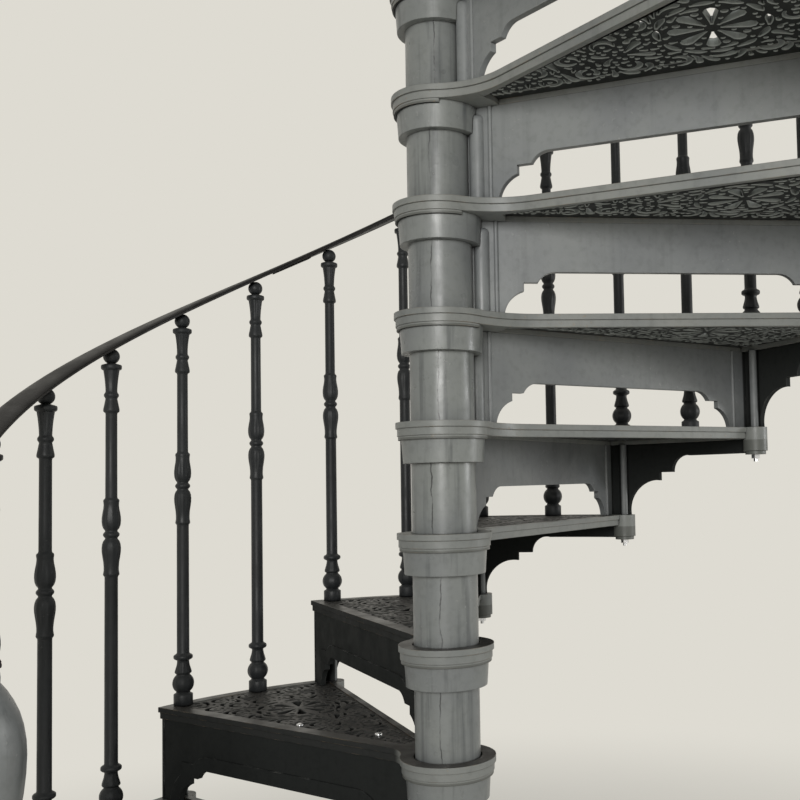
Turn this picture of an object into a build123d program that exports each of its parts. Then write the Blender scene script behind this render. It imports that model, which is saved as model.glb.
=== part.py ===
from build123d import *
import os
from math import asin, cos, degrees, hypot, radians, sin, sqrt

os.makedirs("parts", exist_ok=True)

# Sizes are in millimetres. The column axis is the Z axis, and the floor is at Z 0.
# The stair climbs clockwise, seen from above.

# Layout of the flight
rise = 200
tread_count = 12
turn = 360 / 13
first_angle = 221.7

# Column: sleeves with flared collars, stacked between the hubs on a centre post
sleeve_radius = 59
sleeve_wall = 8
collar_lip = 14.6
collar_flare = 3.4
collar_depth = 49
seat_depth = 4
seat_gap = 3
post_radius = 24
post_socket = 6
fit_gap = 0.4

# Cap on the landing's hub
cap_drum = 40
cap_edge = 12
cap_dome = 25
cap_taper = 50

# Base plate on the floor
base_radius = 135
base_thickness = 18
base_boss_radius = 80
base_boss_height = 14
anchor_circle = 210
anchor_hole = 7
anchor_count = 4

# Treads: moulded border of two strips, hub ring, swept corners and a bolt lug
tread_radius = 818
rail_inset = 24
border_depth = 25
strip_depth = 11
strip_lip = 3
border_width = 30
panel_drop = 1.5
panel_thickness = 7
panel_start = 150
nosing = 5
hub_lip = 9.6
hub_band_inset = 4.6
hub_band_depth = 7
hub_band_clear = 33
front_sweep = 70
back_sweep = 150
lug_radius = 27
lug_depth = 53
lug_foot_inset = 4
lug_foot_depth = 8

# Piercing of a tread: rows of comma slots in mirrored pairs round a rosette
row_pitch = 76
pair_pitch = 36
slot_reach = 27
slot_head = 8
slot_bend = 10
slot_slant = 28
slot_bar = 6
rosette_radius = 26
rosette_eye = 8
petal_count = 8
petal_length = 28
petal_width = 12

# Risers: plate with a stepped arch, band, beads, a column boss and a corner post
riser_skew = 2.4
riser_plate = 10
riser_boss_radius = 15
riser_boss_out = 18
riser_boss_sink = 4.5
riser_boss_drop = 38
inner_bead = 104
bead_radius = 4
outer_bead_inset = 57
arch_start = 118
arch_outer_stile = 69
arch_height = 80
arch_step_low = 44
arch_step_high = 60
lower_cove_run = 37
ledge_run = 27
upper_cove_run = 33
band_width = 30
band_raise = 2.5
corner_post_radius = 10

# Skirts below the outer edge, each cast with its riser
skirt_plate = 10
skirt_inset = 6
skirt_foot = 12
skirt_cove_run = 86
skirt_ledge_run = 37
skirt_upper_run = 49
skirt_step_low = 84
skirt_step_high = 104
skirt_strip = 32

# Balusters, with heights above the tread that carries them
foot_radius = 21
foot_height = 24
bulb_radius = 24.5
bulb_height = 51
base_ring_radius = 21
base_ring_height = 107
shaft_radius = 12
upper_shaft_radius = 11
knop_height = 494
knop_half = 84
knop_radius = 19.4
knop_ring_radius = 16
cup_radius = 21
cup_length = 57
ball_radius = 16.9
crown_radius = 7
crown_height = 889

# Handrail
rail_width = 50
rail_thickness = 13
rail_edge = 6
rail_gap = 0.3
rail_spans = 4
rail_overrun = 0.15
splice_levels = (4, 8, 12)
splice_width = 22
splice_thickness = 3
splice_reach = 0.12

# Newel at the first tread, in a cut-out of the tread's front corner
newel_foot_radius = 46
newel_foot_over = 12
newel_shaft_radius = 24
newel_ring_radius = 34
newel_vase_radius = 66
newel_vase_drop = 164
newel_vase_length = 290
newel_top_radius = 20

# Landing; its far edge lies along the X axis, on the negative side
flange_thickness = 10
flange_depth = 90
flange_start = 215
flange_hole = 7
flange_hole_margin = 41.5
flange_hole_count = 5
landing_spaces = 5
landing_end_margin = 3.2

# Fixing nuts and bolt ends below the lugs
nut_flats = 17
nut_height = 9
bolt_radius = 5
bolt_stub = 7

# Sizes that follow from the ones above
collar_foot_radius = sleeve_radius + collar_lip
collar_top_radius = collar_foot_radius + collar_flare
hub_radius = collar_top_radius + hub_lip
baluster_circle = tread_radius - rail_inset
nosing_shift = riser_plate + nosing
riser_height = rise - border_depth
skirt_outer = tread_radius - skirt_inset
skirt_mid = skirt_outer - skirt_plate / 2
arch_end = tread_radius - arch_outer_stile
base_top = base_thickness + base_boss_height
landing_level = tread_count + 1
landing_top = rise * landing_level
levels = range(1, landing_level)


def polar(radius, angle):
    """Point at a radius and an angle in degrees."""
    return (radius * cos(radians(angle)), radius * sin(radians(angle)))


def beside(angle, shift, radius):
    """Point at a radius on the line that runs a shift to the left of a radial line."""
    along = sqrt(radius**2 - shift**2)
    x = along * cos(radians(angle)) - shift * sin(radians(angle))
    y = along * sin(radians(angle)) + shift * cos(radians(angle))
    return (x, y)


def arc_about_axis(start, end, radius):
    """Arc about the column axis between two points on it."""
    middle = (Vector(*start) + Vector(*end)).normalized() * radius
    return ThreePointArc(start, middle, end)


def line_angle(level):
    """Radial line of the first baluster of a level."""
    return first_angle - turn * (level - 1)


def at_level(level):
    """Place of a level's own frame: X along its first baluster's line, Z 0 at its top."""
    return Location((0, 0, rise * level), (0, 0, line_angle(level)))


def on_rail_circle(level, share=0.0):
    """Place on the baluster circle, a share of a tread past the level's own line."""
    angle = line_angle(level) - turn * share
    return Location((*polar(baluster_circle, angle), rise * level), (0, 0, angle))


def write(piece, name):
    """Labels a piece and writes it under its own name."""
    piece.label = name
    export_step(piece, f"parts/{name}.step")


def plate_outline(sweep, with_lug):
    """Plan of a tread or landing: wedge, hub ring, swept corners and the back lug."""
    front = beside(riser_skew, nosing_shift, tread_radius)
    back = polar(tread_radius, -sweep)
    inner_front = (-nosing_shift * sin(radians(riser_skew)), nosing_shift * cos(radians(riser_skew)))
    front_root = beside(riser_skew, nosing_shift, hub_radius)
    back_root = polar(hub_radius, -sweep)
    with BuildSketch() as plan:
        with BuildLine():
            Polyline((0, 0), inner_front, front)
            arc_about_axis(front, back, tread_radius)
            Line(back, (0, 0))
        make_face()
        Circle(hub_radius)
        fillet(plan.vertices().sort_by_distance(Vector(*front_root))[0], front_sweep)
        fillet(plan.vertices().sort_by_distance(Vector(*back_root))[0], back_sweep)
        if with_lug:
            with Locations(polar(baluster_circle, -sweep)):
                Circle(lug_radius)
    return plan.sketch


def panel_field(sweep):
    """Pierced field of a tread, inside its border."""
    front_shift = nosing_shift - border_width
    outer = tread_radius - border_width
    corners = [
        beside(riser_skew, front_shift, panel_start),
        beside(riser_skew, front_shift, outer),
        beside(-sweep, border_width, outer),
        beside(-sweep, border_width, panel_start),
    ]
    with BuildSketch() as field:
        with BuildLine():
            Line(corners[0], corners[1])
            arc_about_axis(corners[1], corners[2], outer)
            Line(corners[2], corners[3])
            arc_about_axis(corners[3], corners[0], panel_start)
        make_face()
    return field.sketch


def comma_slot(side):
    """Slot like a comma, with its round head outward and its tail bent to one side."""
    tip = (-slot_reach, 0)
    near = (slot_reach, side * slot_head)
    far = (slot_reach, -side * slot_head)
    with BuildSketch() as slot:
        with BuildLine():
            ThreePointArc(tip, (0, side * (slot_bend + slot_head / 2)), near)
            ThreePointArc(near, (slot_reach + slot_head, 0), far)
            ThreePointArc(far, (0, side * (slot_bend - slot_head / 2)), tip)
        make_face()
    return slot.sketch


def petal_slot(length):
    """Pointed slot of two arcs."""
    with BuildSketch() as slot:
        with BuildLine():
            ThreePointArc((-length / 2, 0), (0, petal_width / 2), (length / 2, 0))
            ThreePointArc((length / 2, 0), (0, -petal_width / 2), (-length / 2, 0))
        make_face()
    return slot.sketch


def piercing(sweep):
    """All slots of a plate: comma pairs about its middle line and a rosette on it."""
    half_turn = radians(sweep + riser_skew) / 2
    middle = degrees(half_turn) - sweep
    side_reach = slot_reach * sin(radians(slot_slant)) + slot_head
    row_reach = slot_bar + slot_reach + slot_head
    first_row = panel_start + row_reach
    last_row = tread_radius - border_width - row_reach
    row_gaps = int((last_row - first_row) / row_pitch)
    centre = (first_row + last_row) / 2
    keep_clear = rosette_radius + petal_length / 2 + slot_bar + side_reach

    def place(radius, offset, lean):
        angle = middle + degrees((offset + nosing_shift / 2) / radius)
        return Location((*polar(radius, angle), 0), (0, 0, angle + lean))

    spines = []
    pairs = {1: [], -1: []}
    for row in range(row_gaps + 1):
        radius = first_row + row * (last_row - first_row) / row_gaps
        lean = slot_slant if row % 2 else -slot_slant
        half_width = radius * half_turn - border_width + nosing_shift / 2 - slot_bar
        offset = half_width - side_reach
        if offset < side_reach + slot_bar / 2:
            spines.append(place(radius, 0, 0))
        while offset > side_reach + slot_bar / 2:
            if hypot(radius - centre, offset) > keep_clear:
                for side in pairs:
                    pairs[side].append(place(radius, side * offset, side * lean))
            offset -= pair_pitch
    commas = {side: comma_slot(side) for side in pairs}
    spine = petal_slot(2 * slot_reach)
    petal = petal_slot(petal_length)
    with BuildSketch() as slots:
        for side in pairs:
            with Locations(*pairs[side]):
                add(commas[side])
        if spines:
            with Locations(*spines):
                add(spine)
        with Locations(place(centre, 0, 0)):
            Circle(rosette_eye)
            with PolarLocations(rosette_radius, petal_count):
                add(petal)
    return slots.sketch


def pierced_plate(sweep, with_lug):
    """Tread or landing in its own frame, with the seat for the sleeve above."""
    plan = plate_outline(sweep, with_lug)
    field = panel_field(sweep)
    slots = piercing(sweep)
    band_start = riser_skew + hub_band_clear
    band_end = -sweep - hub_band_clear
    lug_place = polar(baluster_circle, -sweep)
    with BuildPart() as plate:
        with BuildSketch():
            add(plan)
        extrude(amount=-strip_depth)
        with BuildSketch(Plane.XY.offset(-strip_depth)):
            add(plan)
            offset(amount=-strip_lip, mode=Mode.REPLACE)
        extrude(amount=strip_depth - border_depth)
        with BuildSketch(Plane.XY.offset(-border_depth)):
            Circle(hub_radius - hub_band_inset)
            Circle(collar_top_radius + fit_gap, mode=Mode.SUBTRACT)
            with BuildLine():
                Polyline(
                    (0, 0),
                    polar(2 * hub_radius, band_end),
                    polar(3 * hub_radius, -sweep / 2),
                    polar(2 * hub_radius, band_start),
                    close=True,
                )
            make_face(mode=Mode.SUBTRACT)
        extrude(amount=-hub_band_depth)
        with BuildSketch():
            add(field)
        extrude(amount=-panel_drop, mode=Mode.SUBTRACT)
        with BuildSketch(Plane.XY.offset(-panel_drop - panel_thickness)):
            add(field)
        extrude(amount=panel_drop + panel_thickness - border_depth, mode=Mode.SUBTRACT)
        with BuildSketch():
            add(slots)
        extrude(amount=-panel_drop - panel_thickness, mode=Mode.SUBTRACT)
        if with_lug:
            with BuildSketch(Plane.XY.offset(-strip_depth)):
                with Locations(lug_place):
                    Circle(lug_radius)
            extrude(amount=strip_depth - lug_depth)
            with BuildSketch(Plane.XY.offset(-lug_depth)):
                with Locations(lug_place):
                    Circle(lug_radius - lug_foot_inset)
            extrude(amount=-lug_foot_depth)
        with BuildSketch():
            Circle(sleeve_radius + seat_gap)
        extrude(amount=-seat_depth, mode=Mode.SUBTRACT)
        with BuildSketch():
            Circle(post_radius + fit_gap)
        extrude(amount=-border_depth, mode=Mode.SUBTRACT)
    return plate.part


# Riser plane: X runs out from the axis, Y up, and the back face lies on the plane
riser_plane = Plane(
    origin=(0, 0, 0),
    x_dir=(*polar(1, riser_skew), 0),
    z_dir=(*polar(1, riser_skew - 90), 0),
)


def cove(foot, ledge, depth):
    """Hollow curve from a foot point up to a ledge, bent by a share of its size."""
    (x0, y0), (x1, y1) = foot, ledge
    bent = ((x0 + x1 + (x0 - x1) * depth) / 2, (y0 + y1 + (y1 - y0) * depth) / 2)
    return ThreePointArc(foot, bent, ledge)


def arch_sketch(floor):
    """Opening of a riser: flat crown with two stepped coves at each end."""
    low = floor + arch_step_low
    high = floor + arch_step_high
    crown = floor + arch_height
    with BuildSketch() as arch:
        with BuildLine():
            Line((arch_end, floor), (arch_start, floor))
            crowns = []
            for foot, side in ((arch_start, 1), (arch_end, -1)):
                step = foot + side * lower_cove_run
                ledge = step + side * ledge_run
                crowns.append((ledge + side * upper_cove_run, crown))
                cove((foot, floor), (step, low), 0.3)
                Polyline((step, low), (step, high), (ledge, high))
                cove((ledge, high), crowns[-1], 0.3)
            Line(*crowns)
        make_face()
    return arch.sketch


def skirt_sketch(floor, top, end_angle):
    """Skirt outline on the flat plane that the curved skirt is cut from."""

    def flat(run):
        return skirt_mid * sin(run / skirt_mid - radians(end_angle / 2))

    front = flat(-skirt_mid * radians(riser_skew) - riser_plate)
    end = flat(skirt_mid * radians(end_angle))
    low = floor + skirt_step_low
    high = floor + skirt_step_high
    strip = top - skirt_strip
    first = skirt_foot + skirt_cove_run
    ledge = first + skirt_ledge_run
    second = ledge + skirt_upper_run
    with BuildSketch() as outline:
        with BuildLine():
            Polyline((front, top), (front, floor), (flat(skirt_foot), floor))
            cove((flat(skirt_foot), floor), (flat(first), low), 0.5)
            Polyline((flat(first), low), (flat(first), high), (flat(ledge), high))
            cove((flat(ledge), high), (flat(second), strip), 0.5)
            Polyline((flat(second), strip), (end, strip), (end, top), (front, top))
        make_face()
    return outline.sketch


def sleeve(bottom, top):
    """Tube with the flared collar that carries the next hub."""
    bore = sleeve_radius - sleeve_wall
    with BuildPart() as tube:
        with BuildSketch(Plane.XZ):
            with BuildLine():
                Polyline(
                    (bore, bottom),
                    (sleeve_radius, bottom),
                    (sleeve_radius, top - collar_depth),
                    (collar_foot_radius, top - collar_depth),
                    (collar_top_radius, top),
                    (bore, top),
                    close=True,
                )
            make_face()
        revolve()
    return tube.part


# Skirt, cut from a curved wall under the outer edge of the tread
skirt_end = turn - degrees(asin((lug_radius + fit_gap) / baluster_circle))
skirt_plane = Plane(
    origin=(0, 0, 0),
    x_dir=(*polar(1, -skirt_end / 2 - 90), 0),
    z_dir=(*polar(1, 180 - skirt_end / 2), 0),
)
with BuildPart() as skirt:
    with BuildSketch(skirt_plane):
        add(skirt_sketch(-rise, -border_depth, skirt_end))
    extrude(amount=-tread_radius)
    with BuildSketch(Plane.XY.offset(-rise)):
        Circle(skirt_outer)
        Circle(skirt_outer - skirt_plate, mode=Mode.SUBTRACT)
    extrude(amount=riser_height, mode=Mode.INTERSECT)

# Room that a riser leaves for the sleeve and its collar
with BuildPart() as column_room:
    with BuildSketch(Plane.XZ):
        with BuildLine():
            Polyline(
                (0, -rise),
                (sleeve_radius + fit_gap, -rise),
                (sleeve_radius + fit_gap, -border_depth - collar_depth - fit_gap),
                (collar_foot_radius + fit_gap, -border_depth - collar_depth - fit_gap),
                (collar_top_radius + fit_gap, -border_depth),
                (0, -border_depth),
                close=True,
            )
        make_face()
    revolve()

# Half-round boss on the back of a riser, beside the column
boss_place = Location(
    (*beside(riser_skew, riser_boss_sink, sleeve_radius + riser_boss_out), -rise),
    (0, 0, riser_skew),
)
boss_height = rise - riser_boss_drop
with BuildPart() as riser_boss:
    with Locations(boss_place):
        Cylinder(riser_boss_radius, boss_height, align=(Align.CENTER, Align.CENTER, Align.MIN))
    fillet(riser_boss.edges().group_by(Axis.Z)[-1], riser_boss_radius * 0.7)
    with Locations(boss_place):
        Box(
            2 * riser_boss_radius,
            riser_boss_radius,
            boss_height,
            align=(Align.CENTER, Align.MIN, Align.MIN),
            mode=Mode.SUBTRACT,
        )

# Riser with its band, beads, column boss, corner post and skirt, as one casting
arch = arch_sketch(-rise)
with BuildPart() as riser_form:
    with BuildSketch(riser_plane):
        with Locations(((sleeve_radius + skirt_mid) / 2, -border_depth - riser_height / 2)):
            Rectangle(skirt_mid - sleeve_radius, riser_height)
        add(arch, mode=Mode.SUBTRACT)
    extrude(amount=-riser_plate)
    with BuildSketch(riser_plane.offset(-riser_plate)):
        add(arch)
        offset(amount=band_width, kind=Kind.INTERSECTION, mode=Mode.REPLACE)
        add(arch, mode=Mode.SUBTRACT)
        with Locations((arch_end, -rise - band_width)):
            Rectangle(4 * tread_radius, 2 * band_width, mode=Mode.SUBTRACT)
    extrude(amount=-band_raise)
    with BuildSketch(Plane.XY.offset(-rise)):
        with Locations(polar(baluster_circle, 0)):
            Circle(corner_post_radius)
        for place in (inner_bead, tread_radius - outer_bead_inset):
            with Locations(polar(place, riser_skew)):
                Circle(bead_radius)
    extrude(amount=riser_height)
    add(riser_boss.part)
    add(column_room.part, mode=Mode.SUBTRACT)
    add(skirt.part)

# Cut for the newel's foot in the first tread and riser
with BuildPart() as newel_cut:
    with BuildSketch(Plane.XY.offset(-rise)):
        with Locations(polar(baluster_circle, 0)):
            Circle(newel_foot_radius + fit_gap)
    extrude(amount=rise)

# Cut for the base plate in the first riser
with BuildPart() as base_cut:
    with BuildSketch():
        Circle(base_radius + fit_gap)
    extrude(amount=base_thickness + fit_gap)
    with BuildSketch():
        Circle(base_boss_radius + fit_gap)
    extrude(amount=base_top + fit_gap)

tread_form = pierced_plate(turn, True)
for level in levels:
    with BuildPart() as tread:
        with Locations(at_level(level)):
            add(tread_form)
            if level == 1:
                add(newel_cut.part, mode=Mode.SUBTRACT)
    write(tread.part, f"tread_{level:02d}")

for level in (*levels, landing_level):
    with BuildPart() as riser:
        with Locations(at_level(level)):
            add(riser_form.part)
            if level == 1:
                add(newel_cut.part, mode=Mode.SUBTRACT)
        if level == 1:
            add(base_cut.part, mode=Mode.SUBTRACT)
    write(riser.part, f"riser_{level:02d}")

# Landing with its flange to the upper floor
landing_sweep = 180 + line_angle(landing_level)
landing_form = pierced_plate(landing_sweep, False)
flange_length = tread_radius - flange_start
flange_middle = (flange_start + tread_radius) / 2
flange_hole_pitch = (flange_length - 2 * flange_hole_margin) / (flange_hole_count - 1)
with BuildPart() as landing:
    with Locations(at_level(landing_level)):
        add(landing_form)
    with BuildSketch(Plane.XZ.offset(-flange_thickness)):
        with Locations((-flange_middle, landing_top - flange_depth / 2)):
            Rectangle(flange_length, flange_depth)
        with Locations((-flange_middle, landing_top - (border_depth + flange_depth) / 2)):
            with GridLocations(flange_hole_pitch, 0, flange_hole_count, 1):
                Circle(flange_hole, mode=Mode.SUBTRACT)
    extrude(amount=flange_thickness)
write(landing.part, "landing")

first_sleeve = sleeve(base_top - seat_depth, rise - border_depth)
other_sleeve = sleeve(-seat_depth, rise - border_depth)
with BuildPart() as column_sleeves:
    add(first_sleeve)
    for level in levels:
        with Locations(at_level(level)):
            add(other_sleeve)
write(column_sleeves.part, "column_sleeves")

with BuildPart() as centre_post:
    with BuildSketch(Plane.XY.offset(post_socket)):
        Circle(post_radius)
    extrude(amount=landing_top - seat_depth - fit_gap - post_socket)
write(centre_post.part, "centre_post")

# Cap on the landing's hub: a drum, a rolled edge and a low dome
with BuildPart() as column_cap:
    with BuildSketch(Plane.XY.offset(landing_top - seat_depth)):
        Circle(sleeve_radius)
    extrude(amount=seat_depth + cap_drum)
    with BuildSketch(Plane.XY.offset(landing_top + cap_drum)):
        Circle(collar_top_radius)
    extrude(amount=cap_edge)
    fillet(column_cap.edges().filter_by(GeomType.CIRCLE).group_by(SortBy.RADIUS)[-1], cap_edge / 3)
    with BuildSketch(Plane.XY.offset(landing_top + cap_drum + cap_edge)):
        Circle(sleeve_radius)
    extrude(amount=cap_dome, taper=cap_taper)
write(column_cap.part, "column_cap")

with BuildPart() as base_plate:
    with BuildSketch():
        Circle(base_radius)
        with PolarLocations(anchor_circle / 2, anchor_count, start_angle=45):
            Circle(anchor_hole, mode=Mode.SUBTRACT)
    extrude(amount=base_thickness)
    with BuildSketch(Plane.XY.offset(base_thickness)):
        Circle(base_boss_radius)
    extrude(amount=base_boss_height)
    with BuildSketch(Plane.XY.offset(base_top)):
        Circle(sleeve_radius + seat_gap)
    extrude(amount=-seat_depth, mode=Mode.SUBTRACT)
    with BuildSketch(Plane.XY.offset(base_top)):
        Circle(post_radius + fit_gap)
    extrude(amount=post_socket - base_top, mode=Mode.SUBTRACT)
write(base_plate.part, "base_plate")


def baluster(extra):
    """Turned baluster; everything above its lower shaft moves up by the extra height."""
    neck = 0.58 * bulb_radius
    ring_step = 0.14 * (base_ring_height - bulb_height)
    knop = knop_height + extra
    crown = crown_height + extra
    ball = crown - 0.9 * ball_radius
    cup_top = ball - 1.2 * ball_radius
    cup_foot = cup_top - cup_length
    waist = 0.78 * knop_radius
    cup_ring = 1.36 * upper_shaft_radius
    with BuildPart() as turning:
        with BuildSketch(Plane.XZ):
            with BuildLine():
                Polyline((0, 0), (foot_radius, 0), (foot_radius, foot_height), (neck, 0.64 * bulb_height))
                ThreePointArc((neck, 0.64 * bulb_height), (bulb_radius, bulb_height), (neck, 1.4 * bulb_height))
                Polyline(
                    (neck, 1.4 * bulb_height),
                    (shaft_radius, base_ring_height - ring_step),
                    (base_ring_radius, base_ring_height - ring_step / 2),
                    (base_ring_radius, base_ring_height + ring_step / 2),
                    (shaft_radius, base_ring_height + ring_step),
                    (shaft_radius, knop - 1.06 * knop_half),
                    (knop_ring_radius, knop - knop_half),
                    (waist, knop - 0.8 * knop_half),
                )
                ThreePointArc(
                    (waist, knop - 0.8 * knop_half),
                    (knop_radius, knop - 0.36 * knop_half),
                    (shaft_radius, knop - 0.1 * knop_half),
                )
                Polyline(
                    (shaft_radius, knop - 0.1 * knop_half),
                    (knop_ring_radius, knop),
                    (shaft_radius, knop + 0.1 * knop_half),
                )
                ThreePointArc(
                    (shaft_radius, knop + 0.1 * knop_half),
                    (knop_radius, knop + 0.36 * knop_half),
                    (waist, knop + 0.72 * knop_half),
                )
                Polyline(
                    (waist, knop + 0.72 * knop_half),
                    (knop_ring_radius, knop + 0.85 * knop_half),
                    (upper_shaft_radius, knop + 0.92 * knop_half),
                    (upper_shaft_radius, cup_foot - 0.12 * cup_length),
                    (cup_ring, cup_foot),
                    (upper_shaft_radius, cup_foot + 0.12 * cup_length),
                    (cup_ring, cup_foot + 0.5 * cup_length),
                    (cup_radius, cup_top),
                    (0.6 * ball_radius, cup_top + 0.3 * ball_radius),
                )
                ThreePointArc(
                    (0.6 * ball_radius, cup_top + 0.3 * ball_radius),
                    (ball_radius, ball),
                    (crown_radius, crown),
                )
                Polyline((crown_radius, crown), (0, crown), (0, 0))
            make_face()
        revolve()
    return turning.part


# The rail rises past each crown, so it clears the crown's lower side by the gap
rail_slope = rise / (radians(turn) * baluster_circle)
rail_height = crown_height + crown_radius * rail_slope + rail_gap
landing_step = (landing_sweep - landing_end_margin) / landing_spaces

short_baluster = baluster(0)
with BuildPart() as balusters_short:
    for level in (*levels[1:], landing_level):
        with Locations(on_rail_circle(level)):
            add(short_baluster)
write(balusters_short.part, "balusters_short")

long_baluster = baluster(rise / 2)
with BuildPart() as balusters_long:
    for level in levels:
        with Locations(on_rail_circle(level, 0.5)):
            add(long_baluster)
write(balusters_long.part, "balusters_long")

level_baluster = baluster(rail_height - rail_gap - crown_height)
with BuildPart() as balusters_landing:
    for index in range(1, landing_spaces + 1):
        with Locations(on_rail_circle(landing_level, index * landing_step / turn)):
            add(level_baluster)
write(balusters_landing.part, "balusters_landing")

# Newel: pedestal in the tread's corner, shaft with rings, and a vase below the rail
newel_top = rise + rail_height - newel_top_radius * rail_slope - rail_gap
pedestal = rise + newel_foot_over
vase = newel_top - newel_vase_drop
vase_foot = vase - 0.85 * newel_vase_length
vase_neck = vase + 0.32 * newel_vase_length
neck_radius = 0.42 * newel_vase_radius
newel_foot = (*polar(baluster_circle, first_angle), 0)
newel_plane = Plane(origin=newel_foot, x_dir=(*polar(1, first_angle), 0), z_dir=(*polar(1, first_angle - 90), 0))
with BuildPart() as newel_post:
    with BuildSketch(newel_plane):
        with BuildLine():
            Polyline(
                (0, 0),
                (newel_foot_radius, 0),
                (newel_foot_radius, pedestal),
                (0.8 * newel_foot_radius, 1.06 * pedestal),
                (0.9 * newel_foot_radius, 1.1 * pedestal),
                (newel_shaft_radius, 1.2 * pedestal),
                (newel_shaft_radius, vase_foot - newel_ring_radius),
                (newel_ring_radius, vase_foot - 0.7 * newel_ring_radius),
                (newel_ring_radius, vase_foot - 0.4 * newel_ring_radius),
                (newel_shaft_radius, vase_foot),
            )
            Spline(
                (newel_shaft_radius, vase_foot),
                (0.66 * newel_vase_radius, vase - 0.3 * newel_vase_length),
                (newel_vase_radius, vase),
                (neck_radius, vase_neck),
                tangents=[(0, 1), (0, 1)],
            )
            Polyline(
                (neck_radius, vase_neck),
                (newel_ring_radius, vase_neck + 0.6 * newel_ring_radius),
                (newel_ring_radius, vase_neck + newel_ring_radius),
                (neck_radius, vase_neck + 1.2 * newel_ring_radius),
                (newel_top_radius, newel_top),
                (0, newel_top),
                (0, 0),
            )
        make_face()
    revolve(axis=Axis(newel_foot, (0, 0, 1)))
write(newel_post.part, "newel_post")


def rail_plane(share, level_run=0.0):
    """Section plane of the rail, so many treads up the flight and a level run past it."""
    angle = first_angle - turn * share - level_run
    return Plane(
        origin=(*polar(baluster_circle, angle), rise * (1 + share) + rail_height),
        x_dir=(*polar(1, angle), 0),
        z_dir=(*polar(1, angle - 90), 0),
    )


# Handrail: moulded flat bar, straight between close sections along the helix
climb = [index / rail_spans for index in range(tread_count * rail_spans + 1)]
rail_planes = [rail_plane(share) for share in (-rail_overrun, *climb)]
level_spans = 2 * landing_spaces
for index in range(1, level_spans + 1):
    rail_planes.append(rail_plane(tread_count, index * landing_sweep / level_spans))
with BuildPart() as handrail:
    for plane in rail_planes:
        with BuildSketch(plane):
            with BuildLine():
                Polyline(
                    (-rail_width / 2, 0),
                    (rail_width / 2, 0),
                    (rail_width / 2, rail_thickness / 2),
                    (rail_width / 2 - rail_edge, rail_thickness),
                    (rail_edge - rail_width / 2, rail_thickness),
                    (-rail_width / 2, rail_thickness / 2),
                    close=True,
                )
            make_face()
    loft(ruled=True)
write(handrail.part, "handrail")


def rail_splice(share):
    """Short plate below a joint of the rail, bent with it."""
    with BuildPart() as splice:
        for reach in (-splice_reach, 0, splice_reach):
            with BuildSketch(rail_plane(share + reach)):
                with Locations((0, -rail_gap - splice_thickness / 2)):
                    Rectangle(splice_width, splice_thickness)
        loft(ruled=True)
    return splice.part


with BuildPart() as rail_splices:
    for level in splice_levels:
        add(rail_splice(level - 0.25))
write(rail_splices.part, "rail_splices")

nut_seat = -lug_depth - lug_foot_depth
with BuildPart() as fixing_nuts:
    for level in levels:
        with BuildSketch(Plane.XY.offset(rise * level + nut_seat)):
            with Locations(polar(baluster_circle, line_angle(level + 1))):
                RegularPolygon(nut_flats / 2, 6, major_radius=False)
        extrude(amount=-nut_height)
        with BuildSketch(Plane.XY.offset(rise * level + nut_seat - nut_height)):
            with Locations(polar(baluster_circle, line_angle(level + 1))):
                Circle(bolt_radius)
        extrude(amount=-bolt_stub)
write(fixing_nuts.part, "fixing_nuts")
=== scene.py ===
import math
import random

import bmesh
import bpy
from mathutils import Matrix, Vector


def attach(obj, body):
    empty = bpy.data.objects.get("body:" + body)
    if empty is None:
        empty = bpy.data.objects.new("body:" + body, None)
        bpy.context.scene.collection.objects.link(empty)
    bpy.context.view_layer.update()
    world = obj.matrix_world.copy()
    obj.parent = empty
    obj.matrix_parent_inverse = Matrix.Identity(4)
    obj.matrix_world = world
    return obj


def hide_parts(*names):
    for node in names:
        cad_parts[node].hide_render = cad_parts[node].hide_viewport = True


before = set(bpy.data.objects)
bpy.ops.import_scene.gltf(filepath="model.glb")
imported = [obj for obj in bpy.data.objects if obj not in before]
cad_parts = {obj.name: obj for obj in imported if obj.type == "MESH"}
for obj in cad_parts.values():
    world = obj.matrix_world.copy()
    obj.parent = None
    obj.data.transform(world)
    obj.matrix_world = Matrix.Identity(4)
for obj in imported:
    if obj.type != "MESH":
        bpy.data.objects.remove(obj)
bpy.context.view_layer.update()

# Sizes of the stair in millimetres and degrees, as in the part's source
MM = 0.001
RISE = 200
TURN = 360 / 13
FIRST = 221.7
TREADS = 12
SKEW = 2.4
TREAD_RADIUS = 818
RAIL_CIRCLE = 794
NEWEL_RADIUS = 46.4
NEWEL_TOP = 20
CROWN = 889
CROWN_REACH = 7
RAIL_GAP = 0.3
RAIL_SLOPE = RISE / (math.radians(TURN) * RAIL_CIRCLE)
RAIL_HEIGHT = CROWN + CROWN_REACH * RAIL_SLOPE + RAIL_GAP
LANDING_SWEEP = 180 + FIRST - TURN * TREADS
LANDING_END = 3.2
LANDING_SPACES = 5
LANDING_STEP = (LANDING_SWEEP - LANDING_END) / LANDING_SPACES

# The part's pierced field, below the tread's top
PANEL_TOP = -1.5
CAD_BACK_BORDER = 30
CAD_OUTER_BORDER = 30
CAD_PANEL_START = 150
CAD_PANEL_DEPTH = 7
CAD_HUB_END = 140

# The wider and deeper field of the pieces made here
SIDE_BORDER = 15
OUTER_BORDER = 27
PANEL_START = 122
PANEL_DEPTH = 14
PANEL_OVERLAP = 3.0
PANEL_EDGE = 1.3
POCKET_BORDER = 0.5
NEAR = 0.3
FACE_SLACK = 0.2
TREAD_SEED, LANDING_SEED = 5, 9

# Camera solved from the photograph, in radians, metres and pixels of its frame
YAW, PITCH, ROLL = 0.0898027, 0.050975, -0.0204151
CAMERA_PLACE = (0, -1.8595, 1.2928)
FRAME = 800
FOCAL = 1011.96
CENTRE_X, CENTRE_Y = 533.94, 427.71
SENSOR = 36


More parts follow.
